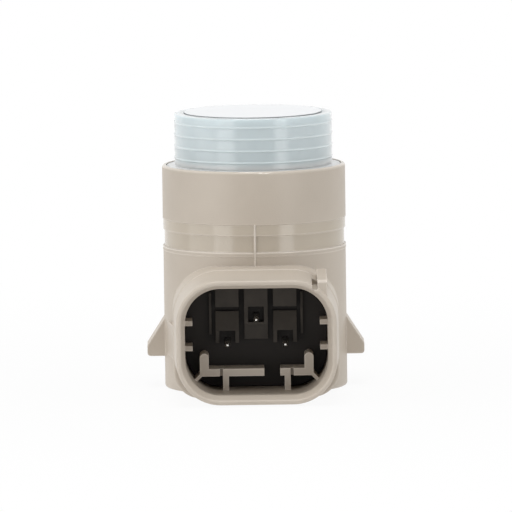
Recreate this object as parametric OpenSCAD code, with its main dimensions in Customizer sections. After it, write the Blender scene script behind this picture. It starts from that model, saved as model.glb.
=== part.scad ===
// Ultrasonic parking sensor: a moulded barrel with a side plug socket,
// a silicone-sleeved sounding cup at the top and the electronics inside.
// Millimetres. The barrel axis is +Z, the base lies on z = 0 and the socket faces -Y.

/* [Barrel] */
// Outside diameter of the barrel
barrel_d = 22; // [20:0.5:27]
// Height of the barrel from base to rim
barrel_h = 26.8; // [25.6:0.2:34]
// Thickness of the barrel wall
barrel_wall = 1.5; // [1.3:0.05:2]
// Rounding of the rim's outer edge
rim_round = 0.3; // [0.2:0.05:0.4]
// Thickness of the rim round the ring's flange
rim_t = 0.45; // [0.45:0.05:0.8]
// Rounding of the base's outer edge
base_round = 0.3; // [0.1:0.05:0.6]
// Height of the plain seat below the rim, which a holder grips
seat_h = 6.4; // [5:0.1:7.5]
// Height of the polished band under the seat
band_h = 1.3; // [0.5:0.1:2]
// Depth of the polished band below the seat's surface
band_depth = 0.05; // [0.02:0.01:0.1]
// Height of the groove under the band
groove_h = 2; // [1:0.1:2.5]
// Depth of the groove
groove_depth = 0.2; // [0.1:0.05:0.4]
// Height of the thin lip under the groove
lip_h = 0.5; // [0.2:0.1:0.8]
// Depth of the plain wall below the lip's surface
lip_step = 0.04; // [0.02:0.01:0.1]
// Width of the mould's parting line on the front
seam_w = 0.18; // [0.1:0.02:0.4]
// Height of the parting line above the surface
seam_h = 0.06; // [0.02:0.01:0.12]

/* [Socket] */
// Inside width of the socket's mouth
mouth_w = 17; // [14:0.1:21]
// Inside height of the socket's mouth
mouth_h = 12.75; // [12:0.05:16]
// Inside corner radius of the mouth
mouth_r = 4.2; // [3.6:0.1:5]
// Thickness of the shroud's wall
shroud_wall = 1.05; // [0.9:0.05:1.3]
// Widening of the mouth at its rim
mouth_flare = 0.4; // [0.2:0.05:0.5]
// Depth of the widening behind the rim
flare_depth = 1.2; // [0.8:0.1:3]
// Thickening of the shroud's wall from its rim to the collar
shroud_taper = 0.3; // [0.1:0.05:0.5]
// Length of the shroud in front of the collar
shroud_len = 9; // [8:0.1:12]
// Height of the rim's lower edge above the base
shroud_rise = 0.2; // [0.1:0.05:0.5]
// How far the collar stands in front of the barrel
collar_stand = 3; // [2.6:0.1:4]
// How far the collar stands outside the shroud
collar_margin = 0.1; // [0.05:0.05:0.4]
// Rounding of the collar's front edge
collar_round = 0.3; // [0.1:0.05:0.5]
// Corner radius of the neck at the base
neck_foot_r = 3.4; // [1:0.1:4]
// How far the socket's back wall lies inside the barrel's surface
socket_inset = 0.4; // [0.2:0.05:0.6]
// Width of the coding key on the shroud's corner
key_w = 1.15; // [0.8:0.05:1.6]
// Distance of the key's inner face from the middle
key_x = 7.3; // [6.8:0.05:7.6]
// How far the key's front lies behind the rim
key_setback = 0.3; // [0.1:0.05:0.6]
// Fall of the key's top from the collar to its front
key_fall = 0.35; // [0:0.05:1]
// Width of the slot beside the key
slot_w = 0.65; // [0.3:0.05:0.8]
// Depth of the slot below the shroud's top
slot_depth = 1.15; // [0.8:0.05:1.3]
// Length of the slot from the rim
slot_len = 5.5; // [3:0.5:8]

/* [Socket ribs] */
// How far the ribs lie behind the rim
rib_setback = 6.5; // [4:0.1:8]
// Thickness of the side ribs
side_rib_t = 0.6; // [0.4:0.05:1]
// Reach of the side ribs into the mouth
side_rib_reach = 0.9; // [0.5:0.05:1.2]
// Height of the upper side ribs above the mouth's middle
side_rib_up = 1.7; // [1.5:0.05:3]
// Depth of the lower side ribs below the mouth's middle
side_rib_down = 1.3; // [0.2:0.05:1.6]
// Height of the shelf above the mouth's floor
shelf_rise = 1.7; // [1.5:0.05:2.6]
// Thickness of the shelf
shelf_t = 0.9; // [0.6:0.05:1.2]
// Right-hand end of the shelf's left part
shelf_gap_left = 0.9; // [0:0.1:1.5]
// Left-hand end of the shelf's right part
shelf_gap_right = 2.8; // [2.2:0.1:3.1]
// Distance of the legs from the middle
leg_x = 3.68; // [3:0.02:4]
// Thickness of the legs
leg_t = 0.72; // [0.5:0.02:1]
// Distance of the posts from the middle
post_x = 6.24; // [5.5:0.02:6.4]
// Thickness of the posts
post_t = 1.08; // [0.7:0.02:1.2]
// Height of the posts above the shelf
post_h = 1.85; // [1:0.05:2.4]
// Thickness of the corner webs
web_t = 0.4; // [0.3:0.05:0.6]
// Width of the notch in the shelf beside each leg
notch_w = 0.35; // [0.2:0.05:0.5]
// Depth of the notch behind the shelf's front
notch_depth = 0.8; // [0.4:0.1:1.5]

/* [Snap barbs] */
// Reach of each barb beyond the barrel
barb_reach = 2.05; // [1:0.05:3]
// Width of each barb along the socket's direction
barb_w = 5; // [3:0.2:5.4]
// Distance of the barbs' front faces from the barrel's axis
barb_front = 1.4; // [1:0.1:2.5]
// Height of the latching face above the base
barb_low = 3.8; // [2.5:0.1:6]
// Height of the barb's upright land
barb_land = 1.2; // [0.5:0.1:2]
// Height of the sloped top
barb_slope = 3.2; // [2:0.1:5]
// Rounding of the barb's lower corner
barb_round = 0.4; // [0.1:0.05:0.6]
// Distance of the locating block's front end from the barrel's axis, inside the neck
block_front = 9.5; // [8.5:0.1:10.5]
// Height of the locating block
block_h = 4; // [2:0.1:5]

/* [Sounding end] */
// Outside diameter of the sounding cup
cup_d = 16.5; // [14:0.1:16.7]
// Height of the cup
cup_h = 8.6; // [7.5:0.1:10]
// How far the cup's face stands above the rim
cup_stand = 6.35; // [5:0.05:7]
// Thickness of the cup's wall
cup_wall = 1; // [0.6:0.05:1.3]
// Thickness of the cup's face
cup_face = 0.8; // [0.5:0.05:1.1]
// How far the silicone ring's top lies below the cup's face
ring_drop = 0.15; // [0.05:0.05:0.6]
// Height of the ring's lip under the cup
ring_lip = 1; // [0.6:0.1:1.4]
// Thickness of the ring's flange
flange_t = 0.95; // [0.4:0.05:1.2]
// Depth of the flange's top below the rim
flange_drop = 0.05; // [0.05:0.05:0.6]
// Radius of the ribs round the ring
ring_rib_r = 0.15; // [0.1:0.01:0.3]
// How far the ribs stand out of the ring
ring_rib_out = 0.08; // [0.05:0.01:0.2]
// Distance from one rib to the next
ring_rib_pitch = 1.41; // [1.1:0.01:1.5]
// Distance of the first rib below the ring's top
ring_rib_start = 1.07; // [0.6:0.01:1.3]
// Number of ribs
ring_rib_count = 4; // [2:1:4]
// Diameter of the piezo disc
piezo_d = 8; // [6:0.2:9]
// Thickness of the piezo disc
piezo_t = 0.45; // [0.2:0.05:0.8]
// Thickness of the damping pad under the piezo disc
pad_t = 2; // [1:0.1:3]

/* [Inside] */
// Thickness of the base cover
cover_t = 1.5; // [1:0.1:2]
// Width of the rebate that the cover lies in
rebate_w = 0.6; // [0.4:0.05:0.8]
// Height of the cover's locating skirt
skirt_h = 1.2; // [0.8:0.1:2]
// Thickness of the cover's skirt
skirt_t = 0.8; // [0.5:0.05:1.2]
// Chamfer round the cover's lower edge
cover_chamfer = 0.3; // [0.1:0.05:0.5]
// Thickness of the ledge that carries the silicone ring
ledge_t = 1.2; // [0.8:0.1:1.6]
// Width of the ledge
ledge_w = 1.8; // [1.5:0.1:2]
// Thickness of the circuit board
board_t = 1; // [0.8:0.1:1.6]
// Distance of the board's front face from the barrel's axis
board_front = 3; // [2.5:0.1:3.5]
// Room between the board's top and the ledge
board_headroom = 3.3; // [2.5:0.1:5]
// Thickness of the rails that hold the board
rail_t = 1; // [0.6:0.1:1.3]
// Reach of the rails over the board's edges
rail_lap = 0.8; // [0.4:0.1:1]
// Thickness of the terminals
terminal_t = 0.64; // [0.5:0.02:0.8]
// Distance of the terminals' tips behind the shroud's rim
terminal_setback = 5; // [3.5:0.1:6]
// Length of the terminals' tapered tips
terminal_taper = 0.9; // [0.5:0.1:1.5]
// Distance of the side terminals from the middle
terminal_x = 3.45; // [3:0.05:3.6]
// Height of the middle terminal above the mouth's middle
terminal_up = 2.2; // [1.5:0.1:2.6]
// Depth of the side terminals below the mouth's middle
terminal_down = 0.8; // [0.4:0.05:1.2]
// How far the terminals stand out behind the board
terminal_tail = 0.8; // [0.5:0.1:1.2]
// Thickness of the terminal carrier's plate
carrier_t = 2; // [1.5:0.1:2.5]
// How far the carrier's towers stand in front of its plate
tower_h = 1.4; // [0.8:0.1:2]
// Diameter of the piezo leads
lead_d = 0.5; // [0.3:0.05:0.8]
// Bend radius of the piezo leads
lead_bend = 1; // [0.8:0.1:1.5]

/* [Clearances] */
// Clearance between pieces that slide together
slide_gap = 0.1; // [0.05:0.01:0.2]
// Clearance between round pieces that sit tight
seat_gap = 0.05; // [0.02:0.01:0.1]

/* [Hidden] */
$fn = 96;
overcut = 1;
barrel_r = barrel_d / 2;
chamber_r = barrel_r - barrel_wall;
rebate_r = chamber_r + rebate_w;
band_top = barrel_h - seat_h;
groove_top = band_top - band_h;
groove_low = groove_top - groove_h;
lip_low = groove_low - lip_h;

collar_y = barrel_r + collar_stand;
rim_y = collar_y + shroud_len;
socket_back = barrel_r - socket_inset;
mouth_half = mouth_w / 2;
mouth_low = shroud_rise + shroud_wall;
mouth_high = mouth_low + mouth_h;
mouth_mid = (mouth_low + mouth_high) / 2;
shroud_top = mouth_high + shroud_wall;
collar_grow = shroud_wall + shroud_taper + collar_margin;
collar_half = mouth_half + collar_grow;
collar_top = mouth_high + collar_grow;
collar_r = mouth_r + collar_grow;
lining = shroud_wall / 2;
shroud_foot = 0.05;
neck_merge = 0.8;
neck_back = max(0, sqrt(max(0, barrel_r * barrel_r - collar_half * collar_half)) - neck_merge);
rib_root = 0.4;
rib_front = rim_y - rib_setback;
rib_back = socket_back + carrier_t + slide_gap;
shelf_low = mouth_low + shelf_rise;
shelf_high = shelf_low + shelf_t;
window_w = 10.4;
window_margin = 1.8;
window_low = mouth_mid - terminal_down - window_margin;
window_high = mouth_mid + terminal_up + window_margin;

flange_low = barrel_h - flange_drop - flange_t;
cup_top = barrel_h + cup_stand;
cup_r = cup_d / 2;
cup_low = cup_top - cup_h;
cup_bore = cup_r - cup_wall;
cup_ceiling = cup_top - cup_face;
ring_in = cup_r + seat_gap;
ring_out = chamber_r - seat_gap;
ring_top = cup_top - ring_drop;
ring_low = cup_low - ring_lip;
counterbore_r = barrel_r - rim_t;
flange_r = counterbore_r - seat_gap;
ledge_low = ring_low - ledge_t;
ledge_r = chamber_r - ledge_w;
piezo_low = cup_ceiling - piezo_t;
pad_low = piezo_low - pad_t;
filler_r = cup_bore - seat_gap;

skirt_room = 0.3;
board_low = cover_t + skirt_h + skirt_room;
board_top = ledge_low - board_headroom;
board_back = board_front - board_t;
board_half = sqrt(pow(chamber_r - slide_gap, 2) - board_front * board_front);
terminal_hole_r = terminal_t / sqrt(2) + seat_gap;
terminal_spots = [[-terminal_x, mouth_mid - terminal_down],
                  [0, mouth_mid + terminal_up],
                  [terminal_x, mouth_mid - terminal_down]];
lead_inset = 0.8;
lead_land = board_top - lead_inset;
lead_signal_x = -2;
lead_ground_x = (piezo_d / 2 + cup_bore) / 2;
lead_hole_r = lead_d / 2 + slide_gap;
transformer_z = (mouth_mid + terminal_up + lead_land) / 2;
transformer_w = 6.2;
transformer_base_h = 1;
transformer_core_r = 1.5;
transformer_flange_r = 2.8;
transformer_flange_h = 0.7;
transformer_bobbin_h = 2.6;
transformer_copper_gap = 0.3;
side_part_x = (transformer_w / 2 + board_half - rail_lap) / 2;
fork_w = 1.6;
fork_prong = 1.5;
fork_x = 5.3;

mould_beige = [0.75, 0.70, 0.65];
silicone_blue = [0.80, 0.87, 0.89];

// A block given by two opposite corners
module span(low, high) {
    translate(low) cube(high - low);
}

// A flat outline in X and Z, carried from one depth to another in front of the axis
module toward_front(from, to) {
    translate([0, -from, 0]) rotate([90, 0, 0]) linear_extrude(to - from) children();
}

// A rounded rectangle about the middle, with its own radius at the top and at the base
module rounded_panel(half, low, high, r_top, r_low) {
    translate([-half, low + r_low]) square([2 * half, high - low - r_top - r_low]);
    translate([-half + r_top, high - r_top]) square([2 * (half - r_top), r_top]);
    translate([-half + r_low, low]) square([2 * (half - r_low), r_low]);
    for (side = [-1, 1]) {
        translate([side * (half - r_top), high - r_top]) circle(r_top);
        translate([side * (half - r_low), low + r_low]) circle(r_low);
    }
}

// A flat profile carried once round a rounded rectangle: its x is outward, its y is to the front
module carried_round(half, low, high, r_top, r_low, from) {
    corners = [[half - r_top, high - r_top, r_top, 0], [r_top - half, high - r_top, r_top, 90],
               [r_low - half, low + r_low, r_low, 180], [half - r_low, low + r_low, r_low, 270]];
    upright = high - low - r_top - r_low;
    sides = [[half, high - r_top, 0, upright], [r_top - half, high, 90, 2 * (half - r_top)],
             [-half, low + r_low, 180, upright], [half - r_low, low, 270, 2 * (half - r_low)]];
    translate([0, -from, 0]) rotate([90, 0, 0]) {
        for (corner = corners)
            translate([corner[0], corner[1], 0]) rotate(corner[3])
                rotate_extrude(angle = 90) translate([corner[2], 0]) children();
        for (side = sides)
            translate([side[0], side[1], 0]) rotate(side[2])
                rotate([90, 0, 0]) linear_extrude(side[3]) children();
    }
}

// Outline of the socket's mouth, grown outward or shrunk
module mouth_outline(grow) {
    rounded_panel(mouth_half + grow, mouth_low - grow, mouth_high + grow, mouth_r + grow, mouth_r + grow);
}

// Outer form of the barrel: rounded base, lip, groove, polished band, seat and rim
module barrel_body() {
    wall_r = barrel_r - lip_step;
    rotate_extrude() {
        square([wall_r - base_round, base_round]);
        translate([wall_r - base_round, base_round])
            intersection() {
                circle(base_round);
                translate([0, -base_round]) square(base_round);
            }
        translate([0, base_round]) square([wall_r, lip_low - base_round]);
        translate([0, lip_low]) square([barrel_r, lip_h]);
        translate([0, groove_low]) square([barrel_r - groove_depth, groove_h]);
        translate([0, groove_top]) square([barrel_r - band_depth, band_h]);
        translate([0, band_top]) square([barrel_r, seat_h - rim_round]);
        translate([0, barrel_h - rim_round]) square([barrel_r - rim_round, rim_round]);
        translate([barrel_r - rim_round, barrel_h - rim_round])
            intersection() {
                circle(rim_round);
                square(rim_round);
            }
    }
}

// Everything that is hollow along the barrel's axis
module barrel_hollow() {
    rotate_extrude() {
        translate([0, -overcut]) square([rebate_r, cover_t + overcut]);
        translate([0, cover_t]) square([chamber_r, ledge_low - cover_t]);
        translate([0, ledge_low]) square([ledge_r, ledge_t]);
        translate([0, ring_low]) square([chamber_r, flange_low - ring_low]);
        translate([0, flange_low]) square([counterbore_r, barrel_h - flange_low + overcut]);
    }
}

// Block between the barrel and the shroud, with a rounded front edge
module neck() {
    border = 2 * collar_round;
    length = collar_y - neck_back;
    toward_front(neck_back, collar_y)
        rounded_panel(collar_half - border, border, collar_top - border,
                      collar_r - border, neck_foot_r - border);
    carried_round(collar_half, 0, collar_top, collar_r, neck_foot_r, neck_back) {
        translate([-border, 0]) square([border, length - collar_round]);
        translate([-border, 0]) square([border - collar_round, length]);
        translate([-collar_round, length - collar_round])
            intersection() {
                circle(collar_round);
                square(collar_round);
            }
    }
}

// Tapered tube that lines the socket and stands out of the collar, flared and rounded at its rim
module shroud() {
    nose_r = (shroud_wall - mouth_flare) / 2;
    start = socket_back - rib_root;
    length = rim_y - start;
    root_wall = shroud_wall + shroud_taper * (length - nose_r) / shroud_len;
    carried_round(mouth_half, mouth_low, mouth_high, mouth_r, mouth_r, start) {
        polygon([[0, 0], [root_wall, 0], [shroud_wall, length - nose_r],
                 [mouth_flare, length - nose_r], [0, length - flare_depth]]);
        translate([mouth_flare + nose_r, length - nose_r])
            intersection() {
                circle(nose_r);
                translate([-nose_r, 0]) square([2 * nose_r, nose_r]);
            }
    }
}

// Coding key on the shroud's upper right corner, rooted in the middle of the wall
module coding_key() {
    nose = 0.3;
    front = rim_y - key_setback;
    centre_x = mouth_half - mouth_r;
    centre_z = mouth_high - mouth_r;
    root_r = mouth_r + lining;
    outer = key_x + key_w;
    root_in = centre_z + sqrt(root_r * root_r - pow(key_x - centre_x, 2));
    root_out = centre_z + sqrt(max(0, root_r * root_r - pow(outer - centre_x, 2)));
    top = collar_top - collar_margin;
    intersection() {
        toward_front(collar_y - neck_merge, front)
            polygon([[key_x, root_in], [outer, root_out], [outer, collar_top], [key_x, collar_top]]);
        rotate([90, 0, 90]) linear_extrude(barrel_d)
            polygon([[-collar_y + neck_merge, 0], [-collar_y + neck_merge, top], [-collar_y, top],
                     [nose - front, top - key_fall], [-front, top - key_fall - nose], [-front, 0]]);
    }
}

// Slot between the key and the shroud's flat top
module key_slot() {
    span([key_x - slot_w, -rim_y - overcut, shroud_top - slot_depth],
         [key_x, slot_len - rim_y, shroud_top + overcut]);
}

// Snap barb on the right-hand side
module barb() {
    root = chamber_r + barrel_wall / 4;
    tip = barrel_r + barb_reach;
    slope = barb_slope / barb_reach;
    land_top = barb_low + barb_land;
    translate([0, barb_w - barb_front, 0]) rotate([90, 0, 0]) linear_extrude(barb_w) {
        polygon([[root, barb_low], [tip - barb_round, barb_low], [tip, barb_low + barb_round],
                 [tip, land_top], [root, land_top + slope * (tip - root)]]);
        translate([tip - barb_round, barb_low + barb_round]) circle(barb_round);
    }
}

// Slanted locating block in front of the left-hand barb, between the barrel and the neck
module locating_block() {
    block_top = barb_low + barb_land + barb_slope;
    root = chamber_r + barrel_wall / 4;
    outer = barrel_r - 2 * lip_step;
    translate([0, 0, block_top - block_h]) linear_extrude(block_h)
        polygon([[-root, 0], [-outer, 0], [collar_margin - collar_half, -block_front]]);
}

// Mould's parting line on the front of the barrel
module parting_line() {
    span([-seam_w / 2, -barrel_r - seam_h, collar_top - neck_merge], [seam_w / 2, -chamber_r, band_top]);
}

// Rails on one side of the chamber, in front of and behind the board's edge
module board_rails() {
    rail_in = board_half - rail_lap;
    rail_out = chamber_r + barrel_wall / 4;
    front = board_front + slide_gap;
    back = board_back - slide_gap;
    span([rail_in, -front - rail_t, board_low], [rail_out, -front, board_top]);
    span([rail_in, -back, board_low], [rail_out, rail_t - back, board_top]);
}

// One side rib in the mouth, on the right-hand wall
module side_rib(height) {
    span([mouth_half - side_rib_reach, -rib_front, height - side_rib_t / 2],
         [mouth_half + rib_root, -rib_back, height + side_rib_t / 2]);
}

// Leg, post and corner web on one side of the mouth
module rib_frame() {
    post_top = shelf_high + post_h - post_t / 2;
    corner_x = mouth_half - mouth_r;
    corner_z = mouth_low + mouth_r;
    web_in = norm([post_x + post_t / 2 - corner_x, shelf_low - corner_z]);
    toward_front(rib_back, rib_front) {
        translate([leg_x - leg_t / 2, mouth_low - rib_root]) square([leg_t, shelf_rise + rib_root]);
        translate([post_x - post_t / 2, shelf_low]) square([post_t, post_top - shelf_low]);
        translate([post_x, post_top]) circle(post_t / 2);
        translate([corner_x, corner_z]) rotate(-45)
            translate([web_in - rib_root, -web_t / 2]) square([mouth_r - web_in + 2 * rib_root, web_t]);
    }
}

// Ribs inside the mouth that code and guide the plug
module mouth_ribs() {
    shelf_end = post_x + post_t / 2;
    notch_x = leg_x + leg_t / 2;
    for (side = [0, 1]) mirror([side, 0, 0]) {
        side_rib(mouth_mid + side_rib_up);
        side_rib(mouth_mid - side_rib_down);
        rib_frame();
    }
    difference() {
        union() {
            span([-shelf_end, -rib_front, shelf_low], [shelf_gap_left, -rib_back, shelf_high]);
            span([shelf_gap_right, -rib_front, shelf_low], [shelf_end, -rib_back, shelf_high]);
        }
        for (side = [0, 1]) mirror([side, 0, 0])
            span([notch_x, -rib_front - overcut, shelf_low - overcut],
                 [notch_x + notch_w, notch_depth - rib_front, shelf_high + overcut]);
    }
}

module housing() {
    color(mould_beige) {
        difference() {
            union() {
                barrel_body();
                neck();
                barb();
                mirror([1, 0, 0]) barb();
                locating_block();
                parting_line();
            }
            barrel_hollow();
            toward_front(socket_back, rim_y) mouth_outline(lining);
            span([-window_w / 2, -socket_back - overcut, window_low],
                 [window_w / 2, -board_front - rail_t, window_high]);
        }
        difference() {
            union() {
                shroud();
                coding_key();
            }
            key_slot();
            span([-collar_half, -rim_y - overcut, -overcut], [collar_half, 0, shroud_foot]);
        }
        board_rails();
        mirror([1, 0, 0]) board_rails();
        mouth_ribs();
    }
}

// Fork on the cover that holds the board's lower edge
module board_fork(x) {
    front = board_front + slide_gap;
    back = board_back - slide_gap;
    span([x - fork_w / 2, -front - rail_t, cover_t], [x + fork_w / 2, rail_t - back, board_low]);
    span([x - fork_w / 2, -front - rail_t, board_low], [x + fork_w / 2, -front, board_low + fork_prong]);
    span([x - fork_w / 2, -back, board_low], [x + fork_w / 2, rail_t - back, board_low + fork_prong]);
}

module base_cover() {
    cover_r = rebate_r - seat_gap;
    skirt_r = chamber_r - slide_gap;
    color(mould_beige) {
        rotate_extrude() {
            polygon([[0, 0], [cover_r - cover_chamfer, 0], [cover_r, cover_chamfer],
                     [cover_r, cover_t], [0, cover_t]]);
            translate([skirt_r - skirt_t, cover_t]) square([skirt_t, skirt_h]);
        }
        board_fork(-fork_x);
        board_fork(fork_x);
    }
}

module decoupling_ring() {
    rib_x = ring_out + ring_rib_out - ring_rib_r;
    rib_z = ring_top - ring_rib_start;
    color(silicone_blue)
        rotate_extrude() {
            translate([ring_in, ring_low]) square([ring_out - ring_in, ring_top - ring_low]);
            translate([cup_bore - seat_gap, ring_low]) square([ring_out - cup_bore + seat_gap, ring_lip]);
            translate([ring_in, flange_low]) square([flange_r - ring_in, flange_t]);
            for (i = [0 : ring_rib_count - 1])
                translate([rib_x, rib_z - i * ring_rib_pitch]) circle(ring_rib_r);
        }
}

module membrane_cup() {
    edge = 0.25;
    color([0.93, 0.93, 0.92])
        rotate_extrude() {
            translate([0, cup_ceiling]) square([cup_r, cup_face - edge]);
            translate([0, cup_top - edge]) square([cup_r - edge, edge]);
            translate([cup_r - edge, cup_top - edge])
                intersection() {
                    circle(edge);
                    square(edge);
                }
            translate([cup_bore, cup_low]) square([cup_wall, cup_ceiling - cup_low]);
        }
}

module piezo_disc() {
    color([0.72, 0.66, 0.45])
        translate([0, 0, piezo_low]) cylinder(d = piezo_d, h = piezo_t);
}

// Holes for both piezo leads, between two heights
module lead_holes(low, high) {
    for (x = [lead_signal_x, lead_ground_x])
        translate([x, 0, low - overcut]) cylinder(r = lead_hole_r, h = high - low + 2 * overcut);
}

module damping_pad() {
    color([0.25, 0.25, 0.26])
        difference() {
            translate([0, 0, pad_low]) cylinder(r = filler_r, h = pad_t);
            lead_holes(pad_low, piezo_low);
        }
}

module cup_filler() {
    color([0.55, 0.56, 0.58])
        difference() {
            translate([0, 0, cup_low]) cylinder(r = filler_r, h = pad_low - cup_low);
            lead_holes(cup_low, pad_low);
        }
}

// Wire from a height under the cup's face, down and round to the back of the board
module piezo_lead(x, top) {
    bend_z = lead_land + lead_bend;
    color([0.80, 0.45, 0.25]) translate([x, 0, 0]) {
        translate([0, 0, bend_z]) cylinder(d = lead_d, h = top - bend_z);
        translate([0, -lead_bend, bend_z]) rotate([90, 0, 90]) rotate(-90)
            rotate_extrude(angle = 90) translate([lead_bend, 0]) circle(d = lead_d);
        translate([0, -lead_bend, lead_land]) rotate([90, 0, 0])
            cylinder(d = lead_d, h = board_back - lead_bend);
    }
}

module piezo_lead_signal() {
    piezo_lead(lead_signal_x, piezo_low);
}

module piezo_lead_ground() {
    piezo_lead(lead_ground_x, cup_ceiling);
}

module circuit_board() {
    color([0.12, 0.35, 0.20])
        difference() {
            span([-board_half, -board_front, board_low], [board_half, -board_back, board_top]);
            for (spot = terminal_spots)
                translate([spot[0], 0, spot[1]]) rotate([90, 0, 0])
                    cylinder(r = terminal_hole_r, h = board_front + overcut);
        }
}

// Shapes that stand on the back of the board, at a place across and up it
module on_board(x, z) {
    translate([x, -board_back, z]) rotate([-90, 0, 0]) children();
}

module transformer_base() {
    color([0.10, 0.10, 0.11])
        on_board(0, transformer_z) translate([0, 0, transformer_base_h / 2])
            cube([transformer_w, transformer_w, transformer_base_h], center = true);
}

module transformer_core() {
    color([0.22, 0.21, 0.21])
        on_board(0, transformer_z) translate([0, 0, transformer_base_h]) {
            cylinder(r = transformer_flange_r, h = transformer_flange_h);
            cylinder(r = transformer_core_r, h = 2 * transformer_flange_h + transformer_bobbin_h);
            translate([0, 0, transformer_flange_h + transformer_bobbin_h])
                cylinder(r = transformer_flange_r, h = transformer_flange_h);
        }
}

module transformer_winding() {
    copper_out = transformer_flange_r - transformer_copper_gap;
    color([0.72, 0.40, 0.20])
        on_board(0, transformer_z) translate([0, 0, transformer_base_h + transformer_flange_h])
            rotate_extrude() translate([transformer_core_r + seat_gap, seat_gap])
                square([copper_out - transformer_core_r - seat_gap, transformer_bobbin_h - 2 * seat_gap]);
}

module driver_chip() {
    chip = [3.9, 4.9, 1.5];
    leg = [0.9, 0.4, 0.2];
    leg_pitch = 1.27;
    on_board(-side_part_x, transformer_z) {
        color([0.09, 0.09, 0.10]) translate([0, 0, chip[2] / 2 + leg[2]])
            cube([chip[0] - leg[0], chip[1], chip[2]], center = true);
        color([0.75, 0.75, 0.76])
            for (side = [-1, 1], i = [-1.5 : 1.5])
                translate([side * (chip[0] - leg[0]) / 2, i * leg_pitch, leg[2] / 2])
                    cube(leg, center = true);
    }
}

module buffer_capacitor() {
    can_r = 1.8;
    can_h = 4.6;
    foot = [3.8, 3.8, 0.6];
    on_board(side_part_x, transformer_z) {
        color([0.12, 0.12, 0.12]) translate([0, 0, foot[2] / 2]) cube(foot, center = true);
        color([0.80, 0.80, 0.82]) translate([0, 0, foot[2]]) cylinder(r = can_r, h = can_h);
    }
}

module ceramic_capacitors() {
    body = [2, 1.25, 1.1];
    pitch = 6.2;
    rise = fork_prong + 1.1;
    color([0.62, 0.52, 0.40])
        for (i = [-1 : 1])
            on_board(i * pitch, board_low + rise) translate([0, 0, body[2] / 2]) cube(body, center = true);
}

module chip_resistors() {
    body = [1.6, 0.8, 0.45];
    column_x = 2.8;
    row_pitch = 1.3;
    rise = 0.9;
    color([0.14, 0.14, 0.15])
        for (side = [-1, 1], row = [0, 1])
            on_board(side * column_x, board_low + rise + row * row_pitch)
                translate([0, 0, body[2] / 2]) cube(body, center = true);
}

// Square hole along the socket for one terminal
module terminal_hole(spot) {
    half = terminal_t / 2 + seat_gap / 2;
    span([spot[0] - half, -rim_y, spot[1] - half], [spot[0] + half, 0, spot[1] + half]);
}

// Side tower of the carrier: plain head, groove, sloped face and an arch over the terminal
module side_tower(spot) {
    tower_w = 2.8;
    arch_w = 1.9;
    arch_h = 1.45;
    arch_drop = 0.15;
    face_h = 2.3;
    step_h = 0.55;
    step_depth = 0.7;
    slope = 0.6;
    low = spot[1] - arch_drop;
    face_low = low + arch_h;
    face_top = face_low + face_h;
    head = face_top + step_h;
    top = mouth_high - 2 * slide_gap;
    plate = socket_back + carrier_t;
    front = plate + tower_h;
    step_back = front - slope - step_depth;
    difference() {
        translate([spot[0] - tower_w / 2, 0, 0]) rotate([90, 0, 90]) linear_extrude(tower_w)
            polygon([[-plate + overcut, low], [-front, low], [-front, face_low], [slope - front, face_top],
                     [-step_back, face_top], [-step_back, head], [-front, head], [-front, top],
                     [-plate + overcut, top]]);
        span([spot[0] - arch_w / 2, -front - overcut, low - overcut],
             [spot[0] + arch_w / 2, -plate, face_low]);
    }
}

// Middle tower of the carrier, with its well high up and a plain apron below
module middle_tower(spot) {
    tower_w = 2.8;
    well_w = 1.9;
    well_h = 1.85;
    well_drop = 0.7;
    sill = 0.3;
    apron = 1.8;
    apron_h = 0.5;
    low = spot[1] - well_drop;
    top = mouth_high - 2 * slide_gap;
    plate = socket_back + carrier_t;
    difference() {
        span([-tower_w / 2, -plate - tower_h, low - sill], [tower_w / 2, overcut - plate, top]);
        span([-well_w / 2, -plate - tower_h - overcut, low], [well_w / 2, -plate, low + well_h]);
    }
    span([-tower_w / 2, -plate - apron_h, low - sill - apron], [tower_w / 2, overcut - plate, low - sill]);
}

// Black insert that closes the socket's back and holds the terminals
module terminal_carrier() {
    plate = socket_back + carrier_t;
    tail = 2;
    ridge_x = 5.45;
    ridge_t = 0.3;
    ridge_h = 0.6;
    ridge_len = 5;
    color([0.16, 0.15, 0.15])
        difference() {
            union() {
                toward_front(socket_back, plate)
                    mouth_outline(-slide_gap);
                span([slide_gap - window_w / 2, -socket_back, window_low + slide_gap],
                     [window_w / 2 - slide_gap, tail - socket_back, window_high - slide_gap]);
                side_tower(terminal_spots[0]);
                middle_tower(terminal_spots[1]);
                side_tower(terminal_spots[2]);
                for (side = [-1, 1])
                    span([side * ridge_x - ridge_t / 2, -plate - ridge_h, mouth_mid],
                         [side * ridge_x + ridge_t / 2, overcut - plate, mouth_mid + ridge_len]);
            }
            for (spot = terminal_spots) terminal_hole(spot);
        }
}

// Straight square terminal with a tapered tip
module terminal(spot) {
    half = terminal_t / 2;
    tip = half / 2;
    front = rim_y - terminal_setback;
    back = board_back - terminal_tail;
    color([0.80, 0.79, 0.76]) translate([spot[0], 0, spot[1]])
        intersection() {
            translate([0, 0, -half]) linear_extrude(terminal_t)
                polygon([[-half, -back], [-half, terminal_taper - front], [-tip, -front], [tip, -front],
                         [half, terminal_taper - front], [half, -back]]);
            translate([-half, 0, 0]) rotate([90, 0, 90]) linear_extrude(terminal_t)
                polygon([[-back, -half], [terminal_taper - front, -half], [-front, -tip], [-front, tip],
                         [terminal_taper - front, half], [-back, half]]);
        }
}

module terminal_left() {
    terminal(terminal_spots[0]);
}

module terminal_centre() {
    terminal(terminal_spots[1]);
}

module terminal_right() {
    terminal(terminal_spots[2]);
}

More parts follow.
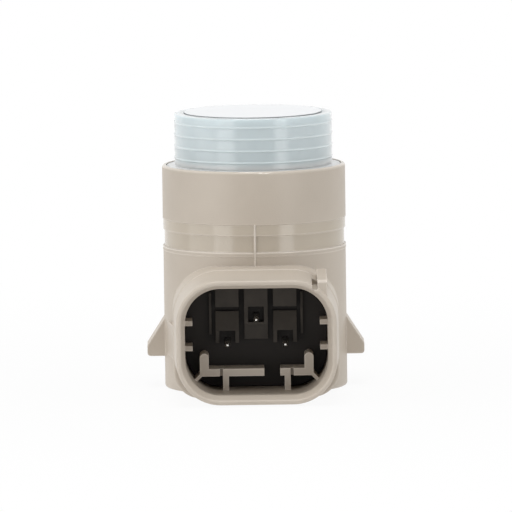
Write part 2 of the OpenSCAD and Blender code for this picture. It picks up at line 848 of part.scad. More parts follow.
housing();
base_cover();
decoupling_ring();
membrane_cup();
piezo_disc();
damping_pad();
cup_filler();
piezo_lead_signal();
piezo_lead_ground();
circuit_board();
transformer_base();
transformer_core();
transformer_winding();
driver_chip();
buffer_capacitor();
ceramic_capacitors();
chip_resistors();
terminal_carrier();
terminal_left();
terminal_centre();
terminal_right();
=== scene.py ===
"""Looks of a parking sensor, laid out as an add-on: finishes, soft and metal pieces, and a plain studio."""
import math

import bpy
import numpy as np
from bpy.props import FloatProperty, FloatVectorProperty, IntProperty, PointerProperty
from mathutils import Matrix, Vector


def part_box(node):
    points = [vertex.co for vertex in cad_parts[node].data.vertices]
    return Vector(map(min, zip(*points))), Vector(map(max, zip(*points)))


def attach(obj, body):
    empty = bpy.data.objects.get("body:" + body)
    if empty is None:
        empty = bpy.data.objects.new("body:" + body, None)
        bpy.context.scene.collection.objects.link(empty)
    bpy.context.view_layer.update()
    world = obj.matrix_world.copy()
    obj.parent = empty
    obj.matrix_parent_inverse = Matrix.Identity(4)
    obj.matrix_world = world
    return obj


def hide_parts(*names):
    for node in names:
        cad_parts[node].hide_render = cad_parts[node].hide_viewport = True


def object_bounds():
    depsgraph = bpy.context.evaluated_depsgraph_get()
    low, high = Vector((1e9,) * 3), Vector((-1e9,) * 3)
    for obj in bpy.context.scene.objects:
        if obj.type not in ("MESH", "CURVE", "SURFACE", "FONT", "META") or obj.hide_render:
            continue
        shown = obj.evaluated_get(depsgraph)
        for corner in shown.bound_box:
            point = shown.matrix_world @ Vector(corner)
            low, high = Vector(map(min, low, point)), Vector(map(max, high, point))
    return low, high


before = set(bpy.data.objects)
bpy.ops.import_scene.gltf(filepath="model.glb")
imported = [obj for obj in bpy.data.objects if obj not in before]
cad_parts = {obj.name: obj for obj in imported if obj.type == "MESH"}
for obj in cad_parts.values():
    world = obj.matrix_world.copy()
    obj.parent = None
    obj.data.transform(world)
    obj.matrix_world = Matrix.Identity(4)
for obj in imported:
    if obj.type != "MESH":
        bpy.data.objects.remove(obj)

bl_info = {
    "name": "Parking sensor looks",
    "version": (1, 0, 0),
    "blender": (4, 5, 0),
    "location": "View3D > Sidebar > Sensor",
    "description": "Finishes, silicone ring, sounding cup, terminals and studio of a parking sensor",
    "category": "Object",
}

MM = 0.001
BODY = "root"
CAD_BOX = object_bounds()
RING_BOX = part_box("decoupling_ring")
CUP_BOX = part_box("membrane_cup")
TERMINALS = ("terminal_left", "terminal_centre", "terminal_right")

# Fineness of the surfaces: points on an arc, up the ring's wall and across the cup's face
ARC_STEPS = 8
WALL_STEPS = 260
FACE_STEPS = 40
# Points closer than this are one point, and edges sharper than this angle stay sharp
MERGE = 0.001 * MM
SHARP = math.radians(40)
# Ends of a pin: distance from the end as a share of the nose's length, with the width there.
# The tail's width is a share of the pin's, and the nose's a share of the tip's.
TAIL = ((0.0, 0.9), (1 / 3, 1.0))
NOSE = ((1.0, 1.0), (0.25, 0.75), (0.0, 0.4))

# Places of a Mix node's colour sockets, which share their names with its number sockets
MIX_UNDER, MIX_OVER, MIX_RESULT = 6, 7, 2
# Most of a pattern's values lie between these two
PATTERN_LOW, PATTERN_HIGH = 0.3, 0.7
# Octaves of a cloudy and of a grainy noise
CLOUDY, GRAINY = 2.0, 3.0
# Half widths of a mask's soft edge, and of the crisper edge of a hairline
SOFT = 0.05 * MM
HAIR = 0.03 * MM
# Samples of a rounded edge, and the cosine of the lean at which an edge takes the full painted highlight
BEVEL_SAMPLES = 6
HIGHLIGHT_LEAN = 0.93
# Clouds on a grained finish are this many grains wide
CLOUD_GRAINS = 14
# Radians by which a Wave texture turns in one unit of length at scale 1
WAVE_RATE = 20
# Paces of a pattern along X, Y and Z: below 1 draws it out, and above 1 packs it
ALONG_Y = (1, 0.1, 1)
ROUND_Z = (1, 1, 12)
ALONG_Z = (1, 1, 0.4)
# Grain widths and grain depth of the finishes inside
FINE, COARSE = 0.05 * MM, 0.15 * MM
THIN = 0.005 * MM

WHITE = (1, 1, 1, 1)
# Start of the camera's view as a share of its distance
NEAR_SHARE = 0.1
# Lamps: name, setting of the power, width and height in metres, azimuth and elevation in degrees,
# and distance from the sensor in metres
LAMPS = (
    ("left_strip", "left", (0.22, 0.3), (-40, 1), 0.52),
    ("right_strip", "right", (0.165, 0.3), (41, 1), 0.52),
    ("left_side", "side_left", (0.5, 0.6), (-70, 12), 0.6),
    ("right_side", "side_right", (0.5, 0.6), (70, 12), 0.6),
    ("top_lamp", "top", (0.25, 0.1), (0, 80), 0.6),
)


# Settings

def length(name, description, millimetres):
    """A size property, stated in millimetres and kept in metres."""
    return FloatProperty(name=name, description=description, default=millimetres * MM,
                         unit="LENGTH", precision=6)


def share(name, description, value):
    """A property from 0 to 1."""
    return FloatProperty(name=name, description=description, default=value,
                         min=0.0, max=1.0, subtype="FACTOR")


def tint(name, description, colour):
    """A linear colour property."""
    return FloatVectorProperty(name=name, description=description, default=colour, size=3,
                               min=0.0, max=1.0, subtype="COLOR")


def angle(name, description, degrees):
    """An angle property, stated in degrees and kept in radians."""
    return FloatProperty(name=name, description=description, default=math.radians(degrees),
                         subtype="ANGLE")


def number(name, description, value, least, most):
    """A plain number property between two limits."""
    return FloatProperty(name=name, description=description, default=value, min=least, max=most)


def watts(name, description, value):
    """A lamp's power."""
    return FloatProperty(name=name, description=description, default=value, min=0.0, max=50.0, unit="POWER")


def count(name, description, value, least, most):
    """A whole number property between two limits."""
    return IntProperty(name=name, description=description, default=value, min=least, max=most)


class MouldingSettings(bpy.types.PropertyGroup):
    """Finish of the beige moulded housing and its cover."""
    colour: tint("Colour", "Beige of the moulded plastic", (0.482, 0.424, 0.357))
    shade: tint("Shade", "Darker beige of the flow marks", (0.446, 0.391, 0.327))
    # Painted shade: the polished band's beige is made darker for the dark reflection its polish shows
    gloss: tint("Gloss", "Deeper beige of the polished band", (0.455, 0.398, 0.322))
    # Painted highlight: paler beige on the parting line's ridge, the lip's edge and the edge under the lip
    seam: tint("Seam", "Pale beige of the parting line and the burnished lip", (0.640, 0.580, 0.510))
    # Painted highlight: edges and corners are made paler, as if lit along their rounding
    worn: tint("Worn", "Paler beige of the rubbed edges", (0.640, 0.580, 0.510))
    roughness: share("Roughness", "Roughness of the textured faces", 0.46)
    drift: share("Drift", "How far the grain changes the roughness to both sides", 0.05)
    polish: share("Polish", "Roughness of the polished faces", 0.16)
    smoothing: share("Smoothing", "How much of the grain polish takes away", 0.85)
    flow: length("Flow marks", "Width of the flow marks", 7.0)
    grain: length("Grain", "Width of the mould texture's grain", 0.16)
    grain_depth: length("Grain depth", "Height of the mould texture's grain", 0.012)
    edge: length("Edge", "Radius of the softened edges", 0.09)
    # Strength and reach of the painted edge highlight
    wear: share("Wear", "How far the rubbed edges take their own colour", 0.7)
    edge_highlight_reach: length("Wear reach", "Distance from an edge within which it is rubbed", 0.25)
    rim_low: length("Rim foot", "Height from which the rim's rounded edge is polished", 26.6)
    # Share of the painted edge highlight laid on the rim's rounded edge
    rim_highlight: share("Rim wear", "How far the rim's rounded edge takes the colour of rubbed edges", 0.4)
    band_low: length("Band foot", "Height of the polished band's lower edge", 17.1)
    band_top: length("Band top", "Height of the polished band's upper edge", 20.4)
    # The lip's upper edge is painted paler as a highlight
    lip_low: length("Lip foot", "Height of the burnished lip's lower edge", 16.96)
    # Painted highlight on the down-facing edge under the lip, over the shade that falls there
    step_low: length("Step", "Height of the worn edge under the lip", 16.6)
    step_half: length("Step width", "Half width of the worn edge under the lip", 0.06)
    under_lip_highlight_share: share("Step wear", "How far the worn edge under the lip takes the parting line's colour", 0.6)
    seam_half: length("Seam width", "Half width of the parting line", 0.09)
    seam_front: length("Seam front", "Foremost place of the parting line", -11.15)
    seam_back: length("Seam back", "Rearmost place of the parting line", -10.8)
    seam_low: length("Seam foot", "Height at which the parting line starts", 15.0)
    seam_full: length("Seam full", "Height from which the parting line is at full strength", 15.3)


class RingSettings(bpy.types.PropertyGroup):
    """Shape and finish of the silicone ring round the sounding cup."""
    wall: length("Wall", "Outside radius of the plain wall", 9.45)
    bore: length("Bore", "Inside radius round the cup", 8.3)
    lip: length("Lip", "Inside radius of the lip under the cup", 7.2)
    lip_height: length("Lip height", "Height of the lip under the cup", 1.0)
    flange_low: length("Flange foot", "Height of the flange's lower face", 25.8)
    flange_top: length("Flange top", "Height of the flange's upper face", 26.75)
    edge: length("Edge", "Rounding of the top and flange edges", 0.15)
    rib_out: length("Rib", "How far a rib stands out of the wall", 0.08)
    rib_width: length("Rib width", "Half width of a rib's bell shape", 0.11)
    rib_top: length("First rib", "Height of the highest rib", 31.93)
    rib_pitch: length("Rib pitch", "Distance from one rib to the next", 1.41)
    ribs: count("Ribs", "Number of ribs", 4, 1, 8)
    sides: count("Sides", "Steps round the ring", 256, 32, 512)
    # Painted shade: the ring goes from the top tint to a darker foot tint, for the dark cup seen through it
    pale: tint("Top tint", "Silicone near its thin top edge", (0.505, 0.572, 0.592))
    shaded_foot: tint("Foot tint", "Silicone near its foot, over the dark cup wall", (0.404, 0.456, 0.468))
    # Painted light: a paler tint over the flange and just above it, lifting the shade where the wall meets
    # the flange
    milky: tint("Flange tint", "Thick, milky silicone at the flange", (0.550, 0.567, 0.566))
    # Painted highlight: a paler tint on each rib's crest and the flank above it
    crest: tint("Rib tint", "Silicone on the thin crest of a rib", (0.548, 0.612, 0.628))
    cloud: length("Clouds", "Width of the clouds in the silicone", 1.6)
    cloudiness: share("Cloudiness", "How far the clouds shift the tint up and down the ring", 0.05)
    foot_light_over: length("Milk height", "How far the milky foot reaches above the flange", 0.6)
    foot_light_soft: length("Milk edge", "Half width of the milky foot's soft edge", 0.35)
    ripple: length("Ripple", "Width of the surface ripple", 0.5)
    ripple_depth: length("Ripple depth", "Height of the surface ripple", 0.01)
    roughness: share("Roughness", "Roughness of the silicone", 0.2)
    drift: share("Drift", "How far the ripple changes the roughness to both sides", 0.06)
    scatter: share("Scatter", "Share of light that scatters inside", 0.55)
    reach: length("Reach", "Distance that light travels inside", 1.6)


class CupSettings(bpy.types.PropertyGroup):
    """Shape and finish of the sounding cup."""
    edge: length("Edge", "Rounding of the face's edge", 0.1)
    wall: length("Wall", "Thickness of the side wall", 1.0)
    face: length("Face", "Thickness of the sounding face", 0.8)
    sides: count("Sides", "Steps round the cup", 192, 32, 512)
    paint: tint("Paint", "White paint of the face", (0.76, 0.77, 0.78))
    paint_depth: share("Paint depth", "How far down the rounded edge the paint is full", 0.4)
    # The unpainted side wall, painted dark grey that also stands in for the shade at the face's edge
    metal: tint("Metal", "Bare aluminium of the side wall", (0.34, 0.35, 0.36))
    brush: length("Brush marks", "Width of the brush marks on the bare metal", 0.2)
    peel: length("Orange peel", "Width of the paint's orange peel", 0.35)
    peel_depth: length("Peel depth", "Height of the paint's orange peel", 0.004)
    roughness: share("Roughness", "Roughness of the paint", 0.6)
    drift: share("Drift", "How far the orange peel changes the roughness to both sides", 0.05)
    shine: share("Shine", "Strength of the paint's gloss", 0.2)


class TerminalSettings(bpy.types.PropertyGroup):
    """Shape and finish of the three contact pins."""
    taper: length("Taper", "Length of the tapered tip", 0.9)
    nose: length("Nose", "Length of the rounded nose", 0.12)
    tip: share("Tip", "Width of the tip as a share of the pin", 0.5)
    squareness: number("Squareness", "Power of the rounded square section", 9.0, 2.0, 30.0)
    sides: count("Sides", "Steps round a pin", 48, 12, 128)
    colour: tint("Colour", "Tin plating", (0.62, 0.61, 0.59))
    roughness: share("Roughness", "Roughness of the plating", 0.26)
    mark_depth: length("Mark depth", "Height of the drawing marks along a pin", 0.003)


class CarrierSettings(bpy.types.PropertyGroup):
    """Finish of the black terminal carrier."""
    towers: tint("Towers", "Black plastic of the towers", (0.052, 0.045, 0.038))
    # Painted shade: the recessed plate is darker than the towers in front of it
    plate: tint("Plate", "Darker plastic of the plate", (0.016, 0.013, 0.011))
    plate_face: length("Plate face", "Place of the plate's front face", -12.6)
    fade_start: length("Fade start", "Distance before the plate at which the towers start to darken", 0.5)
    fade_end: length("Fade end", "Distance before the plate at which the towers are as dark as it is", 0.1)
    cloud: length("Clouds", "Width of the clouds in the black", 1.7)
    grain: length("Grain", "Width of the mould texture's grain", 0.12)
    grain_depth: length("Grain depth", "Height of the mould texture's grain", 0.01)
    edge: length("Edge", "Radius of the softened edges", 0.06)
    roughness: share("Roughness", "Roughness of the black plastic", 0.42)
    drift: share("Drift", "How far the grain changes the roughness to both sides", 0.06)
    shine: share("Shine", "Strength of the plastic's gloss", 0.15)


class ElectronicsSettings(bpy.types.PropertyGroup):
    """Finishes of the board, its components, the piezo disc and the cup's filling."""
    board: tint("Board", "Green resist of the circuit board", (0.018, 0.120, 0.050))
    copper: tint("Copper", "Enamelled copper", (0.62, 0.27, 0.10))
    turn_pitch: length("Turns", "Distance from one turn of the winding to the next", 0.16)
    turn_depth: length("Turn depth", "Height of a turn of the winding", 0.16 / 3)
    black: tint("Black", "Black component bodies", (0.022, 0.022, 0.024))
    dark: tint("Dark", "Ferrite and foam", (0.050, 0.050, 0.052))
    foam_cell: length("Foam cells", "Width of a cell in the foam", 0.3)
    foam_depth: length("Foam depth", "Depth of a cell in the foam", 0.08)
    ceramic: tint("Ceramic", "Brown ceramic", (0.36, 0.25, 0.15))
    silver: tint("Silver", "Bare metal and electrodes", (0.74, 0.73, 0.70))
    filling: tint("Filling", "Grey silicone in the cup", (0.30, 0.31, 0.33))


class StudioSettings(bpy.types.PropertyGroup):
    """Camera, lamps, sky and floor."""
    azimuth: angle("Azimuth", "Camera's turn round the sensor", -0.25)
    elevation: angle("Elevation", "Camera's height above the horizon", 6.0)
    roll: angle("Roll", "Camera's lean", 0.75)
    distance: length("Distance", "Camera's distance from the sensor", 1500.0)
    view_width: length("View", "Width of the picture at the sensor", 61.44)
    target: FloatVectorProperty(name="Target", description="Point in the middle of the picture", size=3,
                                default=(0.14 * MM, -4.0 * MM, 16.0 * MM), subtype="TRANSLATION")
    sky: number("Sky", "Strength of the even light from all round", 0.72, 0.0, 2.0)
    sky_front: number("Front sky", "Strength of the even light from the camera's side", 0.15, 0.0, 2.0)
    front_full: number("Front core", "Y of a direction up to which the front sky is full", -0.85, -1.0, 1.0)
    front_end: number("Front edge", "Y of a direction at which the front sky ends", -0.2, -1.0, 1.0)
    left: watts("Left strip", "Power of the left strip lamp", 0.51)
    right: watts("Right strip", "Power of the right strip lamp", 0.44)
    side_left: watts("Left side", "Power of the soft lamp at the left", 1.15)
    side_right: watts("Right side", "Power of the soft lamp at the right", 0.4)
    top: watts("Top lamp", "Power of the soft lamp overhead", 1.6)
    aim: length("Aim", "Height on the sensor's axis that the lamps look at", 16.0)
    floor_size: length("Floor", "Side of the square floor", 6000.0)
    floor_gap: length("Floor gap", "Distance of the floor below the base", 0.02)
    floor_shade: share("Floor shade", "Brightness of the floor's diffuse part", 0.7)
    floor_glow: share("Floor glow", "Share of plain white in what is seen of the floor by the sensor", 0.92)
    floor_light: share("Floor light", "Share of plain white in the light that the floor gives back", 0.5)
    floor_reach: length("Floor reach", "Distance at which the floor is plain white", 120.0)


class SensorSettings(bpy.types.PropertyGroup):
    """Everything that can be set on the sensor's looks."""
    moulding: PointerProperty(type=MouldingSettings, name="Moulding")
    ring: PointerProperty(type=RingSettings, name="Ring")
    cup: PointerProperty(type=CupSettings, name="Cup")
    terminal: PointerProperty(type=TerminalSettings, name="Terminal")
    carrier: PointerProperty(type=CarrierSettings, name="Carrier")
    electronics: PointerProperty(type=ElectronicsSettings, name="Electronics")
    studio: PointerProperty(type=StudioSettings, name="Studio")


def settings_of(context):
    """The scene's settings of the sensor."""
    return context.scene.parking_sensor


# Surfaces

def arc(middle_r, middle_z, radius, start, end):
    """Points of an arc between two angles in degrees: the middle plus radius times cosine and sine."""
    turn = np.radians(np.linspace(start, end, ARC_STEPS))
    return np.stack([middle_r + radius * np.cos(turn), middle_z + radius * np.sin(turn)], axis=1)


def ring_profile(ring, low, top, flange):
    """Closed outline of the ring's section. The ribbed wall is the plain radius plus one bell curve,
    exp(-(distance / width) squared), for each rib; the edges are arcs and the rest is straight."""
    edge = ring.edge
    heights = np.linspace(ring.flange_top, top - edge, WALL_STEPS)
    crests = ring.rib_top - ring.rib_pitch * np.arange(ring.ribs)
    bells = np.exp(-((heights[:, None] - crests) / ring.rib_width) ** 2)
    wall = np.stack([ring.wall + ring.rib_out * bells.sum(axis=1), heights], axis=1)
    foot = np.array([[ring.lip, low], [ring.wall, low], [ring.wall, ring.flange_low]])
    rim_low = arc(flange - edge, ring.flange_low + edge, edge, -90, 0)
    rim_top = arc(flange - edge, ring.flange_top - edge, edge, 0, 90)
    outer = arc(ring.wall - edge, top - edge, edge, 0, 90)
    inner = arc(ring.bore + edge, top - edge, edge, 90, 180)
    seat = np.array([[ring.bore, low + ring.lip_height], [ring.lip, low + ring.lip_height]])
    return np.concatenate([foot, rim_low, rim_top, wall, outer, inner, seat])


def cup_profile(cup, radius, low, top):
    """Outline of the cup's section from the middle of its face, out over the rounded edge,
    down the side wall and back under the face to the axis."""
    edge = cup.edge
    bore = radius - cup.wall
    ceiling = top - cup.face
    face = np.stack([np.linspace(0, radius - edge, FACE_STEPS), np.full(FACE_STEPS, top)], axis=1)
    rounded = arc(radius - edge, top - edge, edge, 90, 0)
    inside = np.array([[radius, low], [bore, low], [bore, ceiling], [0, ceiling]])
    return np.concatenate([face, rounded, inside])


def revolved(profile, sides):
    """Grid of a surface of revolution about Z: the profile's radius times cosine and sine of the turn,
    at the profile's height."""
    turn = np.linspace(0, 2 * np.pi, sides, endpoint=False)
    radius, height = profile[:, :1], profile[:, 1:]
    return np.stack([radius * np.cos(turn), radius * np.sin(turn), height + 0 * turn], axis=2)


def pin_stations(terminal, front, back):
    """Places along a pin with its width there, as a share of the full one: closed at the back,
    full to the taper, falling in a line to the tip's share, and closed at the front."""
    tail, nose = np.array(TAIL), np.array(NOSE)
    rear = np.stack([back - terminal.nose * tail[:, 0], tail[:, 1]], axis=1)
    tip = np.stack([front + terminal.nose * nose[:, 0], terminal.tip * nose[:, 1]], axis=1)
    return np.concatenate([[[back, 0]], rear, [[front + terminal.taper, 1]], tip, [[front, 0]]])


def pin_surface(terminal, low, high):
    """Grid of a pin along Y: a rounded square, each side a power of cosine and sine, carried along the pin
    with the width of its stations."""
    stations = pin_stations(terminal, low.y, high.y)
    turn = np.linspace(0, 2 * np.pi, terminal.sides, endpoint=False)
    power = 2 / terminal.squareness
    across = np.sign(np.cos(turn)) * np.abs(np.cos(turn)) ** power
    up = np.sign(np.sin(turn)) * np.abs(np.sin(turn)) ** power
    y, width = stations[:, :1], stations[:, 1:] * (high.x - low.x) / 2
    middle_x, middle_z = (low.x + high.x) / 2, (low.z + high.z) / 2
    return np.stack([middle_x + width * across, y + 0 * turn, middle_z + width * up], axis=2)


def grid_faces(rows, columns, closed):
    """Corner numbers of the grid's quads. Columns always close; rows close too where closed is true."""
    row = np.arange(rows if closed else rows - 1)[:, None]
    column = np.arange(columns)[None, :]
    below, above = row * columns, (row + 1) % rows * columns
    beside = (column + 1) % columns
    corners = [below + column, below + beside, above + beside, above + column]
    return np.stack(np.broadcast_arrays(*corners), axis=2).reshape(-1, 4)


def without_doubles(points, faces):
    """Points with those that coincide merged, as at a pole, and faces as lists of their corners."""
    keys = np.round(points / MERGE).astype(np.int64)
    _, first, group = np.unique(keys, axis=0, return_index=True, return_inverse=True)
    faces = group.reshape(-1)[faces]
    distinct = faces != np.roll(faces, 1, axis=1)
    corners = distinct.sum(axis=1)
    quads = faces[corners == 4]
    triangles = faces[corners == 3][distinct[corners == 3]].reshape(-1, 3)
    return points[first], quads.tolist() + triangles.tolist()


def enclosed(points, faces):
    """Volume that quads enclose, a sixth of the sum of triple products: positive when they face outwards."""
    a, b, c, d = (points[faces[:, i]] for i in range(4))
    return float((np.cross(a, b) * c + np.cross(a, c) * d).sum()) / 6


def new_piece(name, grid, closed=False):
    """An object at the origin from a grid of points, facing outwards, smooth except at its sharp edges."""
    rows, columns = grid.shape[:2]
    points = grid.reshape(-1, 3)
    faces = grid_faces(rows, columns, closed)
    if enclosed(points, faces) < 0:
        faces = faces[:, ::-1]
    points, corners = without_doubles(points, faces)
    mesh = bpy.data.meshes.new(name)
    mesh.from_pydata(points.tolist(), [], corners)
    mesh.polygons.foreach_set("use_smooth", np.ones(len(mesh.polygons), bool))
    mesh.set_sharp_from_angle(angle=SHARP)
    mesh.validate()
    piece = bpy.data.objects.new(name, mesh)
    bpy.context.scene.collection.objects.link(piece)
    return piece


# Materials

class NodeTree:
    """Short calls that add nodes to a tree. Results are output sockets, which other calls take as values."""

    def __init__(self, tree):
        self.tree = tree
        self.tree.nodes.clear()

    def feed(self, entry, value):
        """Links a result to an input, or sets a plain value on it."""
        if isinstance(value, bpy.types.NodeSocket):
            self.tree.links.new(value, entry)
        else:
            entry.default_value = value

    def add(self, kind, settings=None, **inputs):
        """A new node with its settings, and values of its inputs by name with _ for a space."""
        node = self.tree.nodes.new(kind)
        for key, value in (settings or {}).items():
            setattr(node, key, value)
        for key, value in inputs.items():
            self.feed(node.inputs[key.replace("_", " ")], value)
        return node

    def fill(self, kind, settings, *values):
        """A new node whose first inputs take values in order, because their names repeat."""
        node = self.add(kind, settings)
        for entry, value in zip(node.inputs, values):
            self.feed(entry, value)
        return node

    def math(self, operation, *values):
        """Arithmetic on values, the first with the second, the result with the third and so on."""
        total = values[0]
        for value in values[1:]:
            total = self.fill("ShaderNodeMath", {"operation": operation}, total, value).outputs[0]
        return total

    def scaled(self, value, low, high, start, end, smooth=False):
        """A value between low and high taken to a range from start to end, in a line or as a smooth step."""
        node = self.add("ShaderNodeMapRange", {"interpolation_type": "SMOOTHSTEP" if smooth else "LINEAR"},
                        Value=value, From_Min=low, From_Max=high, To_Min=start, To_Max=end)
        return node.outputs["Result"]

    def layered(self, mask, under, over):
        """A shader that goes from under to over as the mask goes from 0 to 1."""
        return self.fill("ShaderNodeMixShader", None, mask, under, over).outputs[0]

    def seen(self):
        """1 for what the camera, a gloss or a clear piece sees, and 0 for light."""
        path = self.add("ShaderNodeLightPath").outputs
        kinds = ("Is Camera Ray", "Is Glossy Ray", "Is Transmission Ray")
        return self.math("MAXIMUM", *(path[kind] for kind in kinds))


class Finish(NodeTree):
    """A material with one Principled shader, and the patterns and masks that drive it."""

    def __init__(self, name):
        self.material = bpy.data.materials.new(name)
        self.material.use_nodes = True
        super().__init__(self.material.node_tree)
        self.shader = self.add("ShaderNodeBsdfPrincipled")
        self.add("ShaderNodeOutputMaterial", Surface=self.shader.outputs["BSDF"])
        self.place = self.add("ShaderNodeTexCoord").outputs["Object"]

    def set(self, **inputs):
        """Values of the shader's own sockets."""
        for key, value in inputs.items():
            self.feed(self.shader.inputs[key.replace("_", " ")], value)

    def noise(self, width, detail=CLOUDY, pace=None):
        """Noise whose features are about this wide, at a pace along each axis where one is given."""
        place = self.place
        if pace:
            place = self.add("ShaderNodeMapping", Vector=place, Scale=pace).outputs["Vector"]
        return self.add("ShaderNodeTexNoise", Vector=place, Scale=1 / width, Detail=detail).outputs["Fac"]

    def spread(self, pattern, low=0.0, high=1.0):
        """Most of a pattern's values, spread from low to high."""
        return self.scaled(pattern, PATTERN_LOW, PATTERN_HIGH, low, high)

    def mix(self, mask, under, over):
        """A colour that goes from under to over as the mask goes from 0 to 1."""
        node = self.add("ShaderNodeMix", {"data_type": "RGBA"}, Factor=mask)
        for entry, colour in ((MIX_UNDER, under), (MIX_OVER, over)):
            plain = not isinstance(colour, bpy.types.NodeSocket)
            self.feed(node.inputs[entry], (*colour, 1) if plain else colour)
        return node.outputs[MIX_RESULT]

    def clouded(self, width, colour, dark, pace=None):
        """A colour that drifts to a darker share of itself in clouds of a width."""
        return self.mix(self.spread(self.noise(width, pace=pace)), colour, darker(colour, dark))

    def step(self, axis, low, high, start=0.0, end=1.0):
        """A smooth step from start to end between two places along one Object axis."""
        parts = self.add("ShaderNodeSeparateXYZ", Vector=self.place)
        return self.scaled(parts.outputs[axis], low, high, start, end, smooth=True)

    def strip(self, axis, low, high, soft):
        """1 between two places along one Object axis and 0 outside, with soft edges."""
        rise = self.step(axis, low - soft, low + soft)
        fall = self.step(axis, high - soft, high + soft, 1.0, 0.0)
        return self.math("MULTIPLY", rise, fall)

    def rounded(self, radius):
        """The surface's direction as if its edges were rounded to a radius."""
        return self.add("ShaderNodeBevel", {"samples": BEVEL_SAMPLES}, Radius=radius).outputs["Normal"]

    def edges(self, reach, amount):
        """The amount along edges and corners and 0 on plain faces, by how far a rounded normal leans
        from the face's own."""
        plain = self.add("ShaderNodeNewGeometry").outputs["Normal"]
        lean = self.fill("ShaderNodeVectorMath", {"operation": "DOT_PRODUCT"}, self.rounded(reach), plain)
        return self.scaled(lean.outputs["Value"], 1.0, HIGHLIGHT_LEAN, 0.0, amount)

    def gloss(self, pattern, middle, drift):
        """Roughness on the shader that follows a pattern to both sides of a middle value."""
        self.set(Roughness=self.spread(pattern, middle - drift, middle + drift))

    def relief(self, height, depth, strength, edge=0.0):
        """Bump of a depth on the shader, over edges softened to a radius where one is given."""
        bump = self.add("ShaderNodeBump", Height=height, Strength=strength, Distance=depth)
        if edge:
            self.feed(bump.inputs["Normal"], self.rounded(edge))
        self.set(Normal=bump.outputs["Normal"])


def darker(colour, part):
    """A share of a colour."""
    return [channel * part for channel in colour]


def parting_line(finish, moulding):
    """1 on the thin line up the middle of the barrel's front, from the neck to the polished band's top,
    where a highlight is painted along the parting line's ridge.
    """
    across = finish.strip("X", -moulding.seam_half, moulding.seam_half, HAIR)
    front = finish.strip("Y", moulding.seam_front, moulding.seam_back, SOFT)
    start = finish.step("Z", moulding.seam_low, moulding.seam_full)
    end = finish.step("Z", moulding.band_top - SOFT, moulding.band_top + SOFT, 1.0, 0.0)
    return finish.math("MULTIPLY", across, front, start, end)


def moulded_plastic(moulding):
    """Beige plastic: cloudy flow marks and fine mould grain, a polished band, lip and rim, and a parting
    line
    up the front. Painted light on top: a darker band for the reflection its polish shows, and painted
    highlights that make the parting line, the lip, the edge under it, the rim and all edges and corners
    paler."""
    finish = Finish("moulded_beige")
    grain = finish.noise(moulding.grain, GRAINY)
    band = finish.strip("Z", moulding.band_low, moulding.band_top, SOFT)
    # The lip is polished, and its edge is painted paler as a highlight
    lip = finish.strip("Z", moulding.lip_low, moulding.band_low, HAIR)
    rim = finish.step("Z", moulding.rim_low - SOFT, moulding.rim_low + SOFT)
    # Painted highlight over the shade of the down-facing edge under the lip
    low, high = moulding.step_low - moulding.step_half, moulding.step_low + moulding.step_half
    under_lip_highlight = finish.math("MULTIPLY", finish.strip("Z", low, high, HAIR), moulding.under_lip_highlight_share)
    # Painted highlight on every edge and corner, concave ones too, and on the rim's rounding
    painted_edge_highlight = finish.math("MAXIMUM", finish.edges(moulding.edge_highlight_reach, moulding.wear),
                         finish.math("MULTIPLY", rim, moulding.rim_highlight))
    pale = finish.math("MAXIMUM", parting_line(finish, moulding), under_lip_highlight, lip)
    polished = finish.math("MAXIMUM", band, lip, rim)

    colour = finish.mix(finish.spread(finish.noise(moulding.flow, GRAINY)), moulding.colour, moulding.shade)
    # Painted shade: darker beige on the polished band for the dark reflection its polish shows
    colour = finish.mix(band, colour, moulding.gloss)
    # Paler colour painted on edges and corners as a highlight
    colour = finish.mix(painted_edge_highlight, colour, moulding.worn)
    # Painted highlights: paler beige on the parting line, the lip and the edge under it
    colour = finish.mix(pale, colour, moulding.seam)

    satin = finish.spread(grain, moulding.roughness - moulding.drift, moulding.roughness + moulding.drift)
    change = finish.math("MULTIPLY", polished, finish.math("SUBTRACT", moulding.polish, satin))
    finish.set(Base_Color=colour, Roughness=finish.math("ADD", satin, change), IOR=1.5)

    textured = finish.math("SUBTRACT", 1.0, finish.math("MULTIPLY", polished, moulding.smoothing))
    height = finish.math("MULTIPLY", finish.spread(grain), textured)
    finish.relief(height, moulding.grain_depth, strength=0.5, edge=moulding.edge)
    return finish.material


def milky_silicone(ring, low, top):
    """Translucent silicone with light scattered inside and a faint surface ripple. Painted light: darker
    towards its foot, for the dark cup seen through it, highlights on its ribs, and a paler flange that lifts
    the shade at its foot."""
    finish = Finish("milky_silicone")
    clouds = finish.spread(finish.noise(ring.cloud), -ring.cloudiness, ring.cloudiness)
    # Painted shade: darker towards the foot, for the dark cup seen through the silicone
    height = finish.math("ADD", finish.step("Z", low, top), clouds)
    colour = finish.mix(height, ring.shaded_foot, ring.pale)
    # Painted light over the shade at the flange and the wall's foot
    foot_light_mask = finish.strip("Z", ring.flange_low, ring.flange_top + ring.foot_light_over, ring.foot_light_soft)
    colour = finish.mix(foot_light_mask, colour, ring.milky)
    for rib in range(ring.ribs):
        crest = ring.rib_top - rib * ring.rib_pitch
        # Painted highlight: the paler tint lies on the crest and on the flank above it
        thin = finish.strip("Z", crest - ring.rib_width / 2, crest + ring.rib_width, SOFT)
        colour = finish.mix(thin, colour, ring.crest)
    finish.set(Base_Color=colour, IOR=1.43, Subsurface_Weight=ring.scatter, Subsurface_Scale=ring.reach,
               Subsurface_Radius=(1.0, 1.1, 1.15), Sheen_Weight=0.8, Sheen_Roughness=0.3,
               Coat_Weight=0.5, Coat_Roughness=0.15)
    ripple = finish.noise(ring.ripple, pace=ALONG_Z)
    finish.gloss(ripple, ring.roughness, ring.drift)
    finish.relief(ripple, ring.ripple_depth, strength=0.3)
    return finish.material


